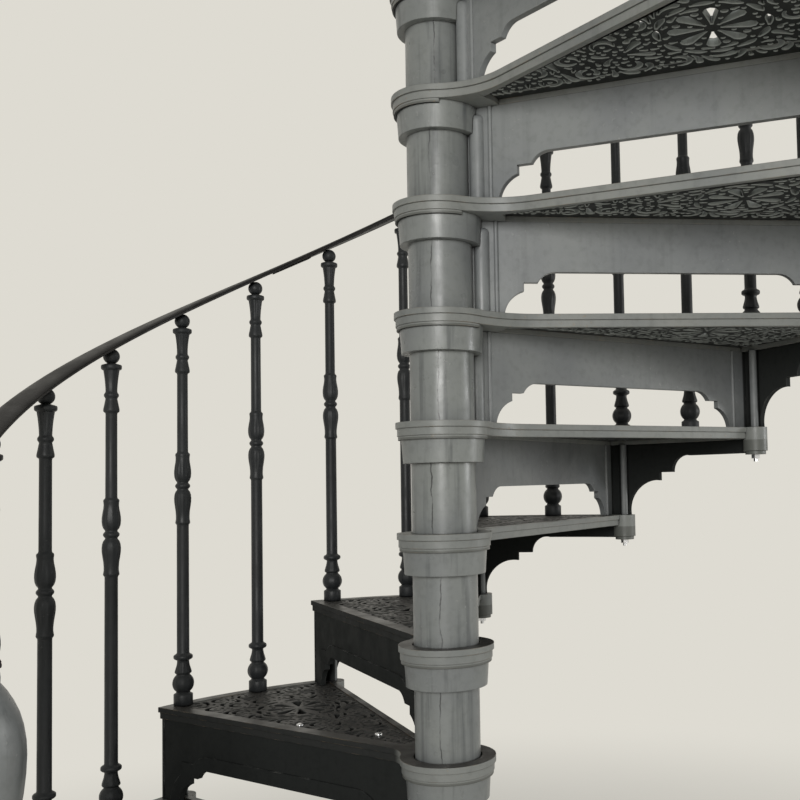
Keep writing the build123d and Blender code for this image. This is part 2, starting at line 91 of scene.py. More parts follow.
def polar(radius, angle):
    return Vector((radius * math.cos(math.radians(angle)), radius * math.sin(math.radians(angle))))


def line_angle(level):
    return FIRST - TURN * (level - 1)


def at_level(level):
    """A level's own frame: X along its first baluster's line, Z 0 at the tread's top."""
    turned = Matrix.Rotation(math.radians(line_angle(level)), 4, "Z")
    return Matrix.Translation((0, 0, RISE * level * MM)) @ turned


def rail_place(level, share=0.0):
    """Place on the baluster circle, a share of a tread past the level's own line."""
    angle = line_angle(level) - TURN * share
    spot = polar(RAIL_CIRCLE * MM, angle)
    turned = Matrix.Rotation(math.radians(angle), 4, "Z")
    return Matrix.Translation((spot.x, spot.y, RISE * level * MM)) @ turned


def add_object(name, data):
    holder = bpy.data.objects.new(name, data)
    bpy.context.scene.collection.objects.link(holder)
    return holder


def add_piece(name, mesh, materials, nodes=()):
    """Links a piece, gives it its materials, puts it under the root body and hides the modelled parts it
    replaces.
    """
    piece = add_object(name, mesh)
    if not mesh.materials:
        for material in materials:
            mesh.materials.append(material)
    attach(piece, "root")
    if nodes:
        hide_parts(*nodes)


def mesh_from(name, vertices, faces, smooth=True):
    mesh = bpy.data.meshes.new(name)
    mesh.from_pydata([tuple(v) for v in vertices], [], faces)
    mesh.validate()
    if smooth:
        mesh.polygons.foreach_set("use_smooth", [True] * len(mesh.polygons))
    mesh.update()
    return mesh


def merged(mesh, face_out=False):
    """Joins a mesh's doubled points."""
    work = bmesh.new()
    work.from_mesh(mesh)
    bmesh.ops.remove_doubles(work, verts=work.verts, dist=1e-6)
    if face_out:
        bmesh.ops.recalc_face_normals(work, faces=work.faces)
    work.to_mesh(mesh)
    work.free()
    return mesh


def evaluated(holder):
    """A new mesh of what an object's curve or modifiers give."""
    graph = bpy.context.evaluated_depsgraph_get()
    return bpy.data.meshes.new_from_object(holder.evaluated_get(graph))


# Materials


def linear(red, green, blue):
    """Linear colour of an 8-bit one."""
    shares = (red / 255, green / 255, blue / 255)
    return tuple(c / 12.92 if c <= 0.04045 else ((c + 0.055) / 1.055) ** 2.4 for c in shares) + (1,)


class Nodes:
    """Short calls for a material's node tree."""

    def __init__(self, name):
        self.material = bpy.data.materials.new(name)
        self.material.use_nodes = True
        self.tree = self.material.node_tree
        self.shader = self.tree.nodes["Principled BSDF"]
        geometry = self.add("ShaderNodeNewGeometry")
        self.position = geometry.outputs["Position"]
        self.normal = geometry.outputs["Normal"]
        self.flat_normal = geometry.outputs["True Normal"]

    def add(self, kind, **values):
        node = self.tree.nodes.new(kind)
        for key, value in values.items():
            setattr(node, key, value)
        return node

    def link(self, source, target):
        if hasattr(source, "is_output"):
            self.tree.links.new(source, target)
        else:
            target.default_value = source

    def noise(self, scale, detail=3.0, stretch=None, rough=0.55):
        node = self.add("ShaderNodeTexNoise")
        node.inputs["Scale"].default_value = scale
        node.inputs["Detail"].default_value = detail
        node.inputs["Roughness"].default_value = rough
        place = self.position
        if stretch:
            mapping = self.add("ShaderNodeMapping")
            mapping.inputs["Scale"].default_value = stretch
            self.link(place, mapping.inputs["Vector"])
            place = mapping.outputs["Vector"]
        self.link(place, node.inputs["Vector"])
        return node.outputs["Fac"]

    def ramp(self, value, low, high, start=0.0, end=1.0):
        node = self.add("ShaderNodeMapRange", interpolation_type="SMOOTHSTEP")
        self.link(value, node.inputs["Value"])
        node.inputs["From Min"].default_value = low
        node.inputs["From Max"].default_value = high
        node.inputs["To Min"].default_value = start
        node.inputs["To Max"].default_value = end
        return node.outputs["Result"]

    def math(self, operation, first, second=0.5):
        node = self.add("ShaderNodeMath", operation=operation)
        self.link(first, node.inputs[0])
        self.link(second, node.inputs[1])
        return node.outputs[0]

    def vector(self, operation, *values):
        node = self.add("ShaderNodeVectorMath", operation=operation)
        for value, socket in zip(values, node.inputs):
            self.link(value, socket)
        return node.outputs["Value" if operation in ("DOT_PRODUCT", "LENGTH") else "Vector"]

    def axes(self, vector):
        """X, Y and Z of a vector."""
        node = self.add("ShaderNodeSeparateXYZ")
        self.link(vector, node.inputs[0])
        return node.outputs["X"], node.outputs["Y"], node.outputs["Z"]

    def mix(self, factor, first, second, blend="MIX"):
        node = self.add("ShaderNodeMix", data_type="RGBA", blend_type=blend)
        self.link(factor, node.inputs[0])
        self.link(first, node.inputs[6])
        self.link(second, node.inputs[7])
        return node.outputs[2]

    def shaded(self, colour, shade, factor=1.0):
        """A colour multiplied by another one or by a share."""
        return self.mix(factor, colour, self.mix(1.0, colour, shade, "MULTIPLY"))

    def occlusion(self, reach, samples, low, high, darkest):
        """Share of light that reaches a corner, from the darkest up to 1."""
        node = self.add("ShaderNodeAmbientOcclusion", samples=samples)
        node.inputs["Distance"].default_value = reach
        return self.ramp(node.outputs["AO"], low, high, darkest, 1.0)

    def front_side(self, inner, outward):
        """1 on faces that look down the flight past a radius, and on the skirts too where asked; there
        more faces count low down, as painted shade.
        """
        turned = self.vector("CROSS_PRODUCT", (0, 0, 1), self.position)
        facing = self.vector("DOT_PRODUCT", self.vector("NORMALIZE", turned), self.flat_normal)
        radius = self.vector("LENGTH", turned)
        if outward:
            # Painted shade: below 1.1 m the facing is raised, so more faces of the lower risers take the
            # dark tone
            height = self.axes(self.position)[2]
            facing = self.math("ADD", facing, self.ramp(height, 1.1, 0.9, 0, 0.4))
            side = self.math("MAXIMUM", self.ramp(facing, 0.05, 0.3), self.ramp(radius, 0.792, 0.797))
        else:
            side = self.ramp(facing, 0.2, 0.5)
        return self.math("MULTIPLY", side, self.ramp(radius, inner, inner + 0.03))

    def edge(self, radius):
        """Softened normal of an edge, and a mask that is 1 where it bends away."""
        bevel = self.add("ShaderNodeBevel", samples=4)
        bevel.inputs["Radius"].default_value = radius
        facing = self.vector("DOT_PRODUCT", bevel.outputs["Normal"], self.normal)
        return bevel.outputs["Normal"], self.ramp(facing, 0.985, 0.86)

    def seams(self):
        """Thin wandering casting seams down the column's tubes, at another angle on each sleeve."""
        x, y, z = self.axes(self.position)
        angle = self.math("ARCTAN2", y, x)
        sleeve = self.math("FLOOR", self.math("MULTIPLY", self.math("ADD", z, 0.03), 5.0))
        wander = self.math("MULTIPLY", self.math("SUBTRACT", self.noise(26, 4), 0.5), 0.22)
        swing = self.math("MULTIPLY", self.math("SINE", self.math("MULTIPLY", sleeve, 2.4)), 0.14)
        bend = self.math("ADD", wander, swing)
        lines = []
        for place in (-1.8, 1.34):
            off = self.math("ADD", self.math("SUBTRACT", angle, place), bend)
            lines.append(self.ramp(self.math("ABSOLUTE", off), 0.03, 0.006))
        radius = self.vector("LENGTH", self.vector("MULTIPLY", self.position, (1, 1, 0)))
        tube = self.ramp(radius, 0.063, 0.061)
        worn = self.ramp(self.noise(30, 3), 0.4, 0.6, 0.25, 0.9)
        return self.math("MULTIPLY", self.math("MULTIPLY", self.math("MAXIMUM", *lines), tube), worn)

    def bump(self, height, strength, distance, normal=None):
        node = self.add("ShaderNodeBump")
        node.inputs["Strength"].default_value = strength
        node.inputs["Distance"].default_value = distance
        self.link(height, node.inputs["Height"])
        if normal is not None:
            self.link(normal, node.inputs["Normal"])
        return node.outputs["Normal"]


STREAK = linear(190, 192, 194)
BLOTCH = linear(200, 200, 200)
SEAM = linear(46, 47, 47)
LUG = linear(92, 94, 90)
LUG_TOP = RISE * MM - 0.028


def cast_paint(
    name, tone, patch, wear, rough=0.42, streaks=0.5, worn=0.5, gloss=0.45,
    top=None, front=None, high=None, low=None, seamed=False, lugs=False,
):
    """Satin paint on cast iron: cloudy tone, runs, flaked spots, worn edges, painted shade in corners and
    crevices.

    Top holds two tones for faces that look up, painted shade mixed with walked dirt; front holds a tone,
    a radius and whether it goes outside.
    High holds the painted light tone of the upper levels and low the share of painted shade on the lower
    ones, with two heights.
    """
    n = Nodes(name)
    height = n.axes(n.position)[2]
    colour = n.mix(n.ramp(n.noise(5, 4), 0.35, 0.7), tone, patch)
    if front:
        mask = n.front_side(front[1], front[2])
        colour = n.mix(mask, colour, front[0])
    # Painted light: between the heights the colour turns to the lighter tone of the upper levels
    if high:
        colour = n.mix(n.ramp(height, high[1], high[2]), colour, high[0])
    # Painted shade: below the heights the colour is darkened by the share, for the shade of the treads
    # above
    if low:
        colour = n.mix(1.0, colour, n.ramp(height, low[1], low[2], low[0], 1.0), "MULTIPLY")
    colour = n.shaded(colour, BLOTCH, n.ramp(n.noise(70, 3), 0.45, 0.75, 0, 0.3))
    runs = n.noise(42, 4, (1, 1, 0.05), 0.6)
    colour = n.shaded(colour, STREAK, n.ramp(runs, 0.52, 0.72, 0, streaks))
    if seamed:
        colour = n.mix(n.seams(), colour, SEAM)
    # Faces that look up take their own two tones: painted shade mixed with walked dirt
    if top:
        top_shade_and_dirt = n.mix(n.ramp(n.noise(9, 5), 0.35, 0.7), top[0], top[1])
        colour = n.mix(n.ramp(n.axes(n.flat_normal)[2], 0.6, 0.9), colour, top_shade_and_dirt)
    if lugs:
        below = n.ramp(n.math("MODULO", height, RISE * MM), LUG_TOP + 0.001, LUG_TOP - 0.001)
        colour = n.mix(below, colour, LUG)

    flakes = n.math("MULTIPLY", n.ramp(n.noise(130, 2), 0.66, 0.7), n.ramp(n.noise(8, 2), 0.5, 0.62))
    bare = n.math("MULTIPLY", flakes, 0.4)
    roughness = n.ramp(n.noise(18, 3), 0.3, 0.75, rough - 0.07, rough + 0.12)
    if front:
        bare = n.math("MULTIPLY", bare, n.math("SUBTRACT", 1.0, mask))
        roughness = n.math("ADD", roughness, n.math("MULTIPLY", mask, 0.25))
        gloss = n.math("SUBTRACT", 0.4, n.math("MULTIPLY", mask, 0.37))
    soft_normal, edges = n.edge(0.0022)
    colour = n.mix(bare, colour, wear)
    colour = n.mix(n.math("MULTIPLY", edges, n.ramp(n.noise(24, 4), 0.45, 0.7, 0, worn)), colour, wear)
    # Painted shade: the colour is darkened in corners and crevices, where less light reaches
    corner_shade = n.occlusion(0.02, 6, 0.15, 0.7, 0.5)
    crevice_shade = n.occlusion(0.005, 4, 0.35, 0.75, 0.3)
    colour = n.mix(1.0, colour, n.math("MULTIPLY", corner_shade, crevice_shade), "MULTIPLY")

    coarse = n.bump(n.noise(28, 3), 0.35, 0.0016, soft_normal)
    lines = n.bump(runs, 0.25 * streaks, 0.0012, coarse)
    fine = n.bump(n.noise(420, 2), 0.18, 0.0005, lines)
    n.link(colour, n.shader.inputs["Base Color"])
    n.link(roughness, n.shader.inputs["Roughness"])
    n.link(gloss, n.shader.inputs["Specular IOR Level"])
    n.link(n.bump(flakes, 0.6, 0.0006, fine), n.shader.inputs["Normal"])
    return n.material


column_paint = cast_paint(
    "column_paint", linear(126, 129, 126), linear(114, 117, 117), linear(152, 154, 150),
    rough=0.34, streaks=0.9, seamed=True,
)
# Risers: dark fronts and skirts; painted shade darkens the lower levels and widens the dark front tone
# low down
riser_paint = cast_paint(
    "riser_paint", linear(130, 133, 132), linear(118, 121, 122), linear(150, 151, 147),
    streaks=0.2, front=(linear(50, 52, 51), 0.055, True), low=(0.7, 1.3, 1.65),
)
border_paint = cast_paint(
    "border_paint", linear(128, 130, 126), linear(116, 119, 117), linear(146, 128, 104),
    streaks=0.2, worn=0.8, top=(linear(57, 55, 52), linear(44, 43, 41)),
    front=(linear(50, 51, 50), 0.088, False), lugs=True,
)
panel_paint = cast_paint(
    "panel_paint", linear(44, 46, 45), linear(36, 38, 37), linear(80, 79, 75),
    rough=0.5, streaks=0.2, gloss=0.25, top=(linear(57, 55, 52), linear(42, 41, 39)),
)
# Slot walls: a dark tone low down and a painted light tone on the walls of the higher treads
wall_paint = cast_paint(
    "wall_paint", linear(30, 31, 30), linear(25, 26, 25), linear(60, 59, 55),
    rough=0.5, streaks=0.2, worn=0.3, gloss=0.25, high=(linear(164, 169, 166), 1.3, 1.7),
)
baluster_paint = cast_paint(
    "baluster_paint", linear(46, 48, 49), linear(39, 41, 42), linear(80, 81, 80),
    rough=0.45, streaks=0.3, worn=0.35, gloss=0.25,
)
handrail_paint = cast_paint(
    "handrail_paint", linear(36, 35, 34), linear(29, 28, 28), linear(78, 72, 65),
    rough=0.45, streaks=0.2, worn=0.6, gloss=0.25,
)


def bright_zinc():
    """Zinc-plated fixings with fine scratches."""
    n = Nodes("bright_zinc")
    colour = n.mix(n.noise(160, 3), linear(196, 197, 199), linear(226, 226, 228))
    n.link(colour, n.shader.inputs["Base Color"])
    n.shader.inputs["Metallic"].default_value = 1.0
    n.link(n.ramp(n.noise(300, 3), 0.3, 0.7, 0.2, 0.36), n.shader.inputs["Roughness"])
    n.link(n.bump(n.noise(500, 2), 0.1, 0.0003), n.shader.inputs["Normal"])
    return n.material


zinc = bright_zinc()


# Pierced scrollwork of the treads


class Field:
    """Plan of a plate's pierced field: S along its middle line, W across from it."""

    def __init__(self, sweep):
        self.sweep = math.radians(sweep)
        self.half = math.radians(sweep + SKEW) / 2
        self.middle = math.radians(SKEW) - self.half
        self.inner = PANEL_START
        self.outer = TREAD_RADIUS - OUTER_BORDER

    def to_plan(self, s, w):
        return (
            s * math.cos(self.middle) - w * math.sin(self.middle),
            s * math.sin(self.middle) + w * math.cos(self.middle),
        )

    def half_width(self, s):
        return s * math.tan(self.half) - SIDE_BORDER / math.cos(self.half)

    def room(self, s, w):
        """Distance from a point to the field's edge, less than 0 outside."""
        reach = math.hypot(s, w)
        across = (self.half_width(s) - abs(w)) * math.cos(self.half)
        return min(across, reach - self.inner, self.outer - reach)

    def outline(self, grow, steps=30):
        """Edge of the plate below the border, up to the riser's back, moved out by a length."""
        points = []
        for radius, order in ((self.inner - grow, 1), (self.outer + grow, -1)):
            front = self.half + math.asin(grow / radius)
            back = self.half - math.asin((SIDE_BORDER - grow) / radius)
            for index in range(steps + 1):
                share = index / steps if order > 0 else 1 - index / steps
                angle = -back + share * (front + back)
                points.append(self.to_plan(radius * math.cos(angle), radius * math.sin(angle)))
        return points

    def sides(self, radius, front_border, back_border):
        """Angles of the front and back edges of a field at a radius."""
        front = math.radians(SKEW) - math.asin(front_border / radius)
        return front, -self.sweep + math.asin(back_border / radius)

    def widened(self, point):
        """Where a point of the part's own field edge goes in the wider field; None off that edge."""
        radius, angle = math.hypot(point.x, point.y) / MM, math.atan2(point.y, point.x)
        low, high = CAD_PANEL_START, TREAD_RADIUS - CAD_OUTER_BORDER
        if not low - NEAR < radius < high + NEAR:
            return None
        front, back = self.sides(radius, SIDE_BORDER, CAD_BACK_BORDER)
        share = (front - angle) / (front - back)
        width = (front - back) * radius
        if not -NEAR < share * width < width + NEAR:
            return None
        if min(abs(share) * width, abs(1 - share) * width, abs(radius - low), abs(radius - high)) > NEAR:
            return None
        moved = self.inner + (radius - low) / (high - low) * (self.outer - self.inner)
        below = point.z < (PANEL_TOP - 1) * MM
        front, back = self.sides(moved, POCKET_BORDER if below else SIDE_BORDER, SIDE_BORDER)
        angle = front + share * (back - front)
        return Vector((moved * math.cos(angle) * MM, moved * math.sin(angle) * MM, point.z))


def comma(path, radii):
    """Outline of a slot with a round head and a thin tail, along a bent path."""
    left, right = [], []
    for index, (s, w) in enumerate(path):
        before, after = path[max(index - 1, 0)], path[min(index + 1, len(path) - 1)]
        ds, dw = after[0] - before[0], after[1] - before[1]
        size = math.hypot(ds, dw) or 1
        ns, nw = -dw / size, ds / size
        left.append((s + ns * radii[index], w + nw * radii[index]))
        right.append((s - ns * radii[index], w - nw * radii[index]))
    s, w = path[0]
    start = math.atan2(right[0][1] - w, right[0][0] - s)
    turns = [start - math.pi * k / 4 for k in (1, 2, 3)]
    cap = [(s + radii[0] * math.cos(turn), w + radii[0] * math.sin(turn)) for turn in turns]
    return left + right[::-1] + cap


def crescent(cs, cw, size, start, sweep, thick, steps=9):
    """Path and radii of an arc round a centre, thickest a third of the way along."""
    path, radii = [], []
    for k in range(steps + 1):
        share = k / steps
        angle = start + sweep * share
        path.append((cs + size * math.cos(angle), cw + size * math.sin(angle)))
        radii.append(1.3 + (thick - 1.3) * math.sin(math.pi * share ** 0.7))
    return path, radii


def filled(path, radii):
    """A path's circles, with three more between each two."""
    for index in range(len(path)):
        yield path[index], radii[index]
        if index + 1 < len(path):
            for share in (0.25, 0.5, 0.75):
                (s0, w0), (s1, w1) = path[index], path[index + 1]
                spot = (s0 + share * (s1 - s0), w0 + share * (w1 - w0))
                yield spot, radii[index] + share * (radii[index + 1] - radii[index])


class Scrollwork:
    """Slots that fill a field: a rosette, scrolls with their beads, then leaves on the flow.

    Each slot lies on one side of the middle line and has a mirror image on the other.
    """

    BAR = 2.2
    RIM = 2
    CELL = 30
    ROSETTE = 556
    PETAL = 58
    ROW = 74
    # Length and head of the leaves of each pass, and how often a place is tried
    LEAVES = (
        (38, 6.6, 700), (31, 5.6, 1100), (24, 4.8, 1500), (16, 4.0, 1900), (9, 3.3, 2400), (0, 2.8, 2400),
    )

    def __init__(self, field, seed):
        self.field = field
        self.rng = random.Random(seed)
        self.slots, self.cells, self.scrolls = [], {}, []
        self.add_rosette()
        self.find_scrolls()
        for scroll in self.scrolls:
            self.add_scroll(*scroll)
        for length, head, tries in self.LEAVES:
            self.add_leaves(length, head, tries)

    def cell(self, s, w):
        return int(s // self.CELL), int(w // self.CELL)

    def fits(self, path, radii):
        """Whether a slot leaves a bar of metal beside the border, the middle line and other slots."""
        for (s, w), radius in filled(path, radii):
            if self.field.room(s, w) < radius + self.RIM or w < radius + self.BAR:
                return False
            cs, cw = self.cell(s, w)
            for near in ((cs + i, cw + j) for i in (-1, 0, 1) for j in (-1, 0, 1)):
                for ds, dw, other in self.cells.get(near, ()):
                    if math.hypot(ds - s, dw - w) < radius + other + 2 * self.BAR:
                        return False
        return True

    def put(self, path, radii):
        for (s, w), radius in filled(path, radii):
            self.cells.setdefault(self.cell(s, w), []).append((s, w, radius))
        if len(path) > 1:
            slot = comma(path, radii)
        else:
            (s, w), radius = path[0], radii[0]
            turns = [2 * math.pi * k / 8 for k in range(8)]
            slot = [(s + radius * math.cos(t), w + radius * math.sin(t)) for t in turns]
        self.slots += [slot, [(s, -w) for s, w in slot]]

    def place(self, path, radii):
        if self.fits(path, radii):
            self.put(path, radii)

    def add_rosette(self):
        """Eight petals, a bead at the end of each gap between them, and crescents round them."""
        steps = 7
        for index in range(4):
            angle = math.radians(22.5 + 45 * index)
            path, radii = [], []
            for k in range(steps + 1):
                reach = self.PETAL - 44 * k / steps
                path.append((self.ROSETTE + reach * math.cos(angle), reach * math.sin(angle)))
                radii.append(max(10.5 * (1 - k / steps) ** 0.85, 1.4))
            self.put(path, radii)
        for index in range(4):
            angle = math.radians(45 * index + 2)
            lift = 6 if not index else 0
            spot = (self.ROSETTE + self.PETAL * math.cos(angle), self.PETAL * math.sin(angle) + lift)
            self.place([spot], [5.2])
        for index in range(6):
            start = math.radians(6 + 29 * index)
            self.place(*crescent(self.ROSETTE, 0, 87, start, math.radians(23), 5.2, 6))

    def find_scrolls(self):
        """Centres, spins and sizes of the scrolls, in rows away from the rosette."""
        row = 0
        s = self.field.inner + 40
        while s < self.field.outer - 15:
            width = self.field.half_width(s)
            count = max(1, round(width / 66))
            for k in range(count):
                w = width * (k + 0.5) / count
                size = min(18, 0.4 * width)
                if math.hypot(s - self.ROSETTE, w) > 92 + size and size > 8:
                    self.scrolls.append((s, w, 1 if (row + k) % 2 else -1, size))
            row += 1
            s += self.ROW

    def add_scroll(self, cs, cw, spin, size):
        """A crescent with a bead in its middle, four inside it and seven outside."""
        start = self.rng.uniform(0, 2 * math.pi)
        self.place(*crescent(cs, cw, size, start, spin * math.radians(215), 4.4))
        self.place([(cs, cw)], [3.4])
        for k in range(4):
            angle = start + spin * (0.7 + 0.9 * k)
            self.place([(cs + 0.5 * size * math.cos(angle), cw + 0.5 * size * math.sin(angle))], [2.5])
        outside = size + 10
        for k in range(7):
            angle = start - spin * (0.2 + k * 10.4 / outside)
            self.place([(cs + outside * math.cos(angle), cw + outside * math.sin(angle))], [3.3])

    def flow(self, s, w):
        """Direction of the stems at a point: outward, and round the scrolls near it."""
        fs, fw = 0.4, 0.1
        for cs, cw, spin, size in self.scrolls:
            ds, dw = s - cs, w - cw
            away = math.hypot(ds, dw) + 1e-6
            pull = 2.6 * math.exp(-((away / (2.2 * size)) ** 2)) * spin / away
            fs -= dw * pull
            fw += ds * pull
        size = math.hypot(fs, fw)
        return fs / size, fw / size

    def add_leaves(self, length, head, tries):
        """Leaves of one length at random places, left out where they would turn sharply."""
        steps = 6 if length else 0
        for _ in range(int(tries * self.field.half / 0.25)):
            s = self.rng.uniform(self.field.inner, self.field.outer)
            w = self.rng.uniform(0, max(self.field.half_width(s), 1))
            way = self.rng.choice((-1, 1))
            if not self.fits([(s, w)], [head]):
                continue
            path, radii = [(s, w)], [head]
            last, smooth = self.flow(s, w), True
            for k in range(1, steps + 1):
                fs, fw = self.flow(s, w)
                smooth = smooth and fs * last[0] + fw * last[1] > 0.75
                last = fs, fw
                s += way * fs * length / steps
                w += way * fw * length / steps
                path.append((s, w))
                radii.append(max(head * (1 - k / steps) ** 0.7, 1.2))
            if smooth:
                self.place(path, radii)


def pierced_panel(field, seed):
    """Mesh of the pierced plate in its level's frame, with bevelled slot edges."""
    curve = bpy.data.curves.new("panel", "CURVE")
    curve.dimensions = "2D"
    curve.fill_mode = "BOTH"
    edge = PANEL_EDGE * MM
    curve.extrude = PANEL_DEPTH / 2 * MM - edge
    curve.bevel_depth = edge
    curve.bevel_resolution = 0
    curve.offset = -edge
    slots = [[field.to_plan(*point) for point in slot] for slot in Scrollwork(field, seed).slots]
    for index, outline in enumerate([field.outline(PANEL_OVERLAP)] + slots):
        area = sum(a[0] * b[1] - b[0] * a[1] for a, b in zip(outline, outline[1:] + outline[:1]))
        if (area > 0) != (index == 0):
            outline = outline[::-1]
        spline = curve.splines.new("POLY")
        spline.points.add(len(outline) - 1)
        for point, (x, y) in zip(spline.points, outline):
            point.co = (x * MM, y * MM, 0, 1)
        spline.use_cyclic_u = True
    holder = add_object("panel", curve)
    mesh = evaluated(holder)
    bpy.data.objects.remove(holder)
    bpy.data.curves.remove(curve)
    mesh.transform(Matrix.Translation((0, 0, (PANEL_TOP - PANEL_DEPTH / 2) * MM)))
    return merged(mesh, face_out=True)


def clip_round(mesh, centre, radius):
    """Takes a round column out of a mesh, as the newel's foot does."""
    place = (centre[0] * MM, centre[1] * MM, 0)
    bpy.ops.mesh.primitive_cylinder_add(vertices=64, radius=radius * MM, depth=0.4, location=place)
    tool = bpy.context.object
    holder = add_object("clip", mesh)
    cut = holder.modifiers.new("cut", "BOOLEAN")
    cut.operation, cut.solver, cut.object = "DIFFERENCE", "EXACT", tool
    result = evaluated(holder)
    bpy.data.objects.remove(holder)
    bpy.data.objects.remove(tool)
    return result


# Places of the paints in a plate's list
BORDER, PANEL, WALL = 0, 1, 2


def plate_mesh(name, node, place, field, panel):
    """A tread's border and hub as modelled, with the scrollwork in its field."""
    plate = bmesh.new()
    plate.from_mesh(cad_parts[node].data)
    plate.transform(place.inverted())
    low, high = (PANEL_TOP - CAD_PANEL_DEPTH - FACE_SLACK) * MM, (PANEL_TOP + FACE_SLACK) * MM
    gone = [
        face for face in plate.faces
        if all(low < v.co.z < high and v.co.xy.length > CAD_HUB_END * MM for v in face.verts)
    ]
    bmesh.ops.delete(plate, geom=gone, context="FACES")
    bmesh.ops.remove_doubles(plate, verts=plate.verts, dist=1e-5)
    for vertex in plate.verts:
        vertex.co = field.widened(vertex.co) or vertex.co
    plate.normal_update()
    border_faces = len(plate.faces)
    plate.from_mesh(panel)
    for index, face in enumerate(plate.faces):
        # Slot walls and lower chamfers take the wall paint, with its painted light on the higher treads
        flat = face.normal.z > 0.5 or face.normal.z < -0.9
        face.material_index = BORDER if index < border_faces else PANEL if flat else WALL
        face.smooth = True
    plate.transform(place)
    mesh = bpy.data.meshes.new(name)
    plate.to_mesh(mesh)
    plate.free()
    if "custom_normal" in mesh.attributes:
        mesh.attributes.remove(mesh.attributes["custom_normal"])
    mesh.set_sharp_from_angle(angle=math.radians(32))
    return mesh


def add_plate(name, node, level, field, panel):
    mesh = plate_mesh(name, node, at_level(level), field, panel)
    add_piece(name, mesh, [border_paint, panel_paint, wall_paint], [node])


tread_field, landing_field = Field(TURN), Field(LANDING_SWEEP)
tread_panel = pierced_panel(tread_field, TREAD_SEED)
for level in range(1, TREADS + 1):
    panel = clip_round(tread_panel, (RAIL_CIRCLE, 0), NEWEL_RADIUS) if level == 1 else tread_panel
    add_plate(f"tread_plate_{level:02d}", f"tread_{level:02d}", level, tread_field, panel)
landing_panel = pierced_panel(landing_field, LANDING_SEED)
add_plate("landing_plate", "landing", TREADS + 1, landing_field, landing_panel)


# Balusters and newel, turned from profiles of radius and height


def arc_points(radius, middle, start, end, count):
    """Points of a round bulge: radius and height at angles from straight out."""
    angles = [math.radians(start + (end - start) * k / count) for k in range(count + 1)]
    return [(radius * math.cos(angle), middle + radius * math.sin(angle)) for angle in angles]


# Foot with its bell, ball and collar
BALUSTER_FOOT = [(0, 0), (20.4, 0), (21, 0.8), (21, 23), (20.2, 24.4), (16, 26.5), (15.2, 29)]
BALUSTER_FOOT += [(radius + 1.1, height) for radius, height in arc_points(23, 48, -54, 52, 10)]
BALUSTER_FOOT += [
    (14.6, 69), (17.4, 70.6), (18.7, 72.6), (18.6, 75), (17.2, 80), (15, 87), (13.6, 94), (13.2, 98),
    (14, 99.8), (18.6, 102), (20.8, 104.2), (21, 107), (20.8, 109.8), (18.6, 112), (14.6, 114.2),
    (13.6, 117),
]
# End of the lower shaft, double vase, upper shaft, cup and the ball under the rail
BALUSTER_HEAD = [
    (13.2, 403.5), (13.6, 406), (15.8, 408.6), (16.2, 411), (15.7, 414), (14.9, 419), (15, 427),
    (16, 437), (17.9, 449), (19.1, 458), (19.3, 466), (18.4, 474), (16, 480.6), (12.6, 485),
    (12.4, 487.3), (14.6, 489.6), (16.2, 492), (16.4, 494), (16.2, 496), (14.6, 498.4), (12.4, 500.7),
    (12.6, 503), (16, 507.4), (18.4, 514), (19.3, 522), (19.1, 530), (17.9, 539), (16, 549),
    (15.2, 556), (15.4, 561), (16.1, 565), (15.5, 568), (12.8, 570.4), (12, 573), (11.7, 750),
    (12.4, 752.6), (15.8, 755), (16.3, 758), (15.9, 762), (14.2, 770), (12.8, 778), (11.8, 783),
    (13, 785.4), (14.7, 788), (15, 790.5), (14.6, 793), (12.6, 795.6), (11.8, 798), (12.2, 808),
    (13.1, 820), (14.5, 832), (15.7, 840), (16.2, 843.6), (18.4, 844.8), (20.3, 846.4), (20.9, 848.6),
    (20.9, 853), (20.2, 855), (16, 856.6), (10, 858.4),
]
BALUSTER_HEAD += arc_points(16.9, 873.8, -62, 64, 12) + [(0, CROWN)]
# Heights between which a baluster is fluted, and the greatest depth as a share of the radius
FLUTED = (
    (29, 66, 0.05), (72, 98, 0.08), (117, 403, 0.07), (430, 480, 0.1), (507, 552, 0.1), (573, 750, 0.06),
    (802, 846, 0.12),
)


def baluster_profile(extra):
    """Radius, height and depth of fluting up a baluster, its head raised by a length."""
    points = []
    for radius, height in BALUSTER_FOOT + BALUSTER_HEAD:
        depth = 0.0
        for start, end, most in FLUTED:
            if start < height < end:
                depth = most * math.sin(math.pi * (height - start) / (end - start)) ** 0.5
        points.append((radius, height + (extra if height > 300 else 0), depth))
    return points


def turned_mesh(name, profile, places, around=40, flutes=10):
    """Lathe-turned pieces with fluting, set at their places, as one mesh."""
    vertices, faces = [], []
    for place in places:
        base = len(vertices)
        for radius, height, depth in profile:
            for k in range(around):
                angle = 2 * math.pi * k / around
                ridge = abs(math.cos(flutes * angle / 2))
                reach = radius * (1 - depth * (1 - ridge))
                spot = (reach * math.cos(angle) * MM, reach * math.sin(angle) * MM, height * MM)
                vertices.append(place @ Vector(spot))
        for row in range(len(profile) - 1):
            for k in range(around):
                after = (k + 1) % around
                low, high = base + row * around, base + (row + 1) * around
                faces.append((low + k, low + after, high + after, high + k))
    mesh = merged(mesh_from(name, vertices, faces))
    mesh.set_sharp_from_angle(angle=math.radians(50))
    return mesh


short_places = [rail_place(level) for level in range(2, TREADS + 2)]
long_places = [rail_place(level, 0.5) for level in range(1, TREADS + 1)]
landing_places = [rail_place(TREADS + 1, k * LANDING_STEP / TURN) for k in range(1, LANDING_SPACES + 1)]
for name, node, extra, places in (
    ("turned_short", "balusters_short", 0, short_places),
    ("turned_long", "balusters_long", RISE / 2, long_places),
    ("turned_landing", "balusters_landing", RAIL_HEIGHT - RAIL_GAP - CROWN, landing_places),
):
    mesh = turned_mesh(name, baluster_profile(extra), places)
    add_piece(name, mesh, [baluster_paint], [node])

